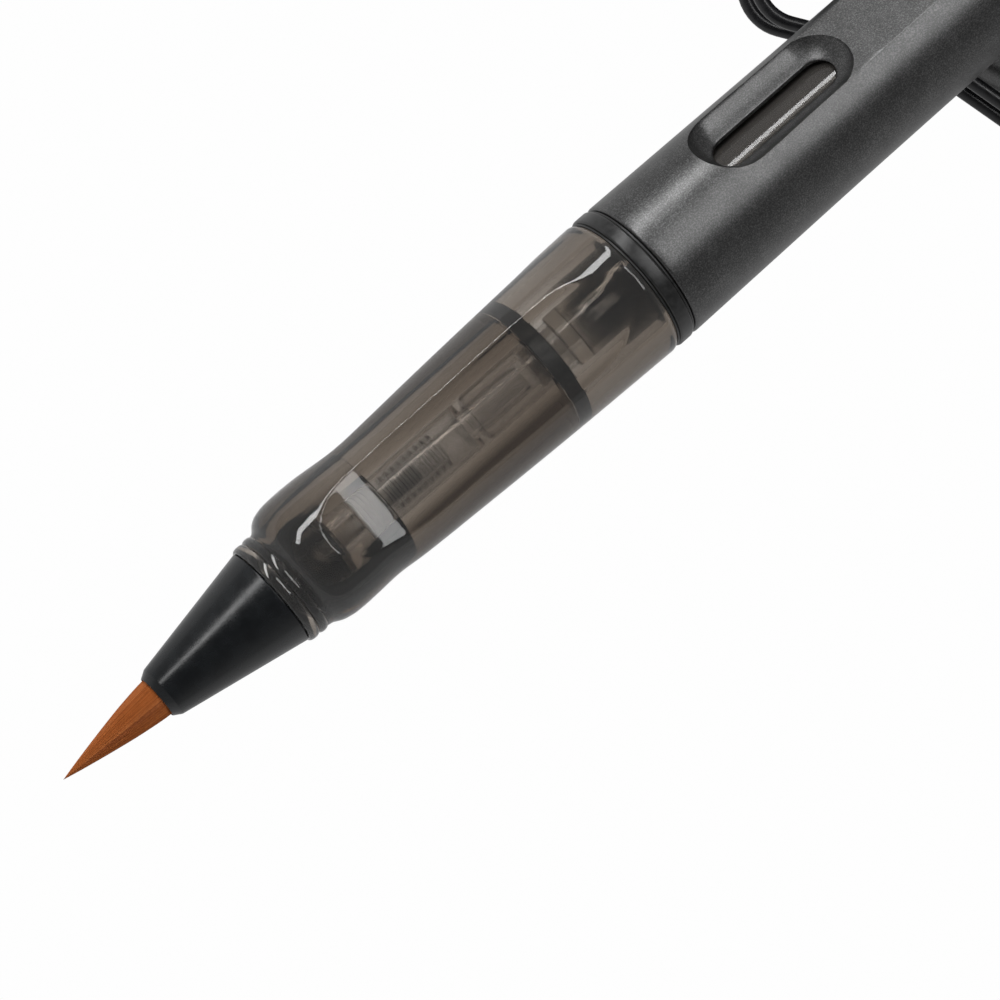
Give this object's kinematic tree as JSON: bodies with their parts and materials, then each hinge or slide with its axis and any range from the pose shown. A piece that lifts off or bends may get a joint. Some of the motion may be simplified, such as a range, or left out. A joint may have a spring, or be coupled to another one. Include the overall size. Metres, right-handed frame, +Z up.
{
  "type": "brush fountain pen",
  "caption": "Brush fountain pen with a hair tip, clear three-sided grip, metal barrel with ink windows and a screw converter, lying across its clip cap.",
  "frame": {"origin": "on the table under the middle of the whole object, pen and cap together", "axes": "+X from the brush tip towards the barrel's end, seen from above; +Y towards the side of the cap's closed top; +Z up"},
  "size_m": [0.1312, 0.0692, 0.0315],
  "materials": {
    "hair": "fine stiff hair",
    "resin": "potting resin",
    "black_gloss": "polished black",
    "black_matte": "matt black",
    "smoky_clear": "transparent smoky plastic",
    "smoky_inner": "transparent smoky plastic",
    "frosted": "frosted, milky",
    "fibre": "felted ink feed",
    "rubber_black": "soft black",
    "ring_grey": "satin dark grey",
    "anodised": "fine blasted dark grey with metallic sparkle",
    "clear": "clear plastic",
    "steel": "bright plated",
    "piston_white": "moulded",
    "wire_black": "semi-gloss black"
  },
  "bodies": {
    "grip": {"grip_section": "smoky_clear", "feed_housing": "smoky_inner", "frosted_ring": "frosted", "buffer_comb": "smoky_inner", "ink_nipple": "smoky_inner", "seal_ring": "rubber_black"},
    "brush_unit": {"brush_tuft": "hair", "tuft_root_plug": "resin", "ferrule": "black_gloss", "ferrule_sleeve": "black_matte", "ink_feed": "fibre"},
    "ring": {"front_gasket": "rubber_black", "spacer_ring": "ring_grey", "rear_gasket": "rubber_black"},
    "barrel": {"barrel_shell": "anodised", "barrel_thread_insert": "black_matte", "barrel_end_plug": "black_matte"},
    "converter": {"converter_mouth": "smoky_inner", "converter_tube": "clear", "converter_band": "steel", "drive_nut": "black_matte"},
    "knob": {"converter_knob": "black_matte", "drive_screw": "steel"},
    "piston": {"piston_head": "piston_white", "piston_seal": "rubber_black", "piston_stem": "piston_white"},
    "cap": {"cap_shell": "anodised", "cap_liner": "black_matte", "clip_holder": "black_matte", "cap_finial": "black_gloss"},
    "clip": {"cap_clip": "wire_black"}
  },
  "joints": [
    {"name": "brush_pull", "type": "slide", "parent": "grip", "child": "brush_unit", "axis": [-0.9808, 0, -0.1951], "range_m": [0, 0.005]},
    {"name": "barrel_advance", "type": "slide", "parent": "grip", "child": "ring", "axis": [0.9808, 0, 0.1951], "range_m": [0, 0.008]},
    {"name": "barrel_unscrew", "type": "hinge", "parent": "ring", "child": "barrel", "pos_m": [-0.00188, 0.01144, 0.01308], "axis": [0.9808, 0, 0.1951], "range_deg": [0, 1441]},
    {"name": "converter_pull", "type": "slide", "parent": "grip", "child": "converter", "axis": [0.9808, 0, 0.1951], "range_m": [0, 0.006]},
    {"name": "knob_turn", "type": "hinge", "parent": "converter", "child": "knob", "pos_m": [0.03931, 0.01144, 0.02127], "axis": [0.9808, 0, 0.1951], "range_deg": [0, 1441]},
    {"name": "piston_travel", "type": "slide", "parent": "converter", "child": "piston", "axis": [-0.9808, 0, -0.1951], "range_m": [0, 0.008]},
    {"name": "cap_slide", "type": "slide", "parent": "grip", "child": "cap", "axis": [0.3616, -0.9323, 0], "range_m": [0, 0.018]},
    {"name": "clip_flex", "type": "hinge", "parent": "cap", "child": "clip", "pos_m": [0.02913, 0.02685, 0.00635], "axis": [0.2881, 0.1117, -0.9511], "range_deg": [0, 4], "stiffness_Nm_per_rad": 0.05}
  ],
  "couplings": [
    {"joint": "barrel_unscrew", "follows": "barrel_advance", "rad_per_m": 3141.6},
    {"joint": "knob_turn", "follows": "piston_travel", "rad_per_m": 3141.6}
  ]
}
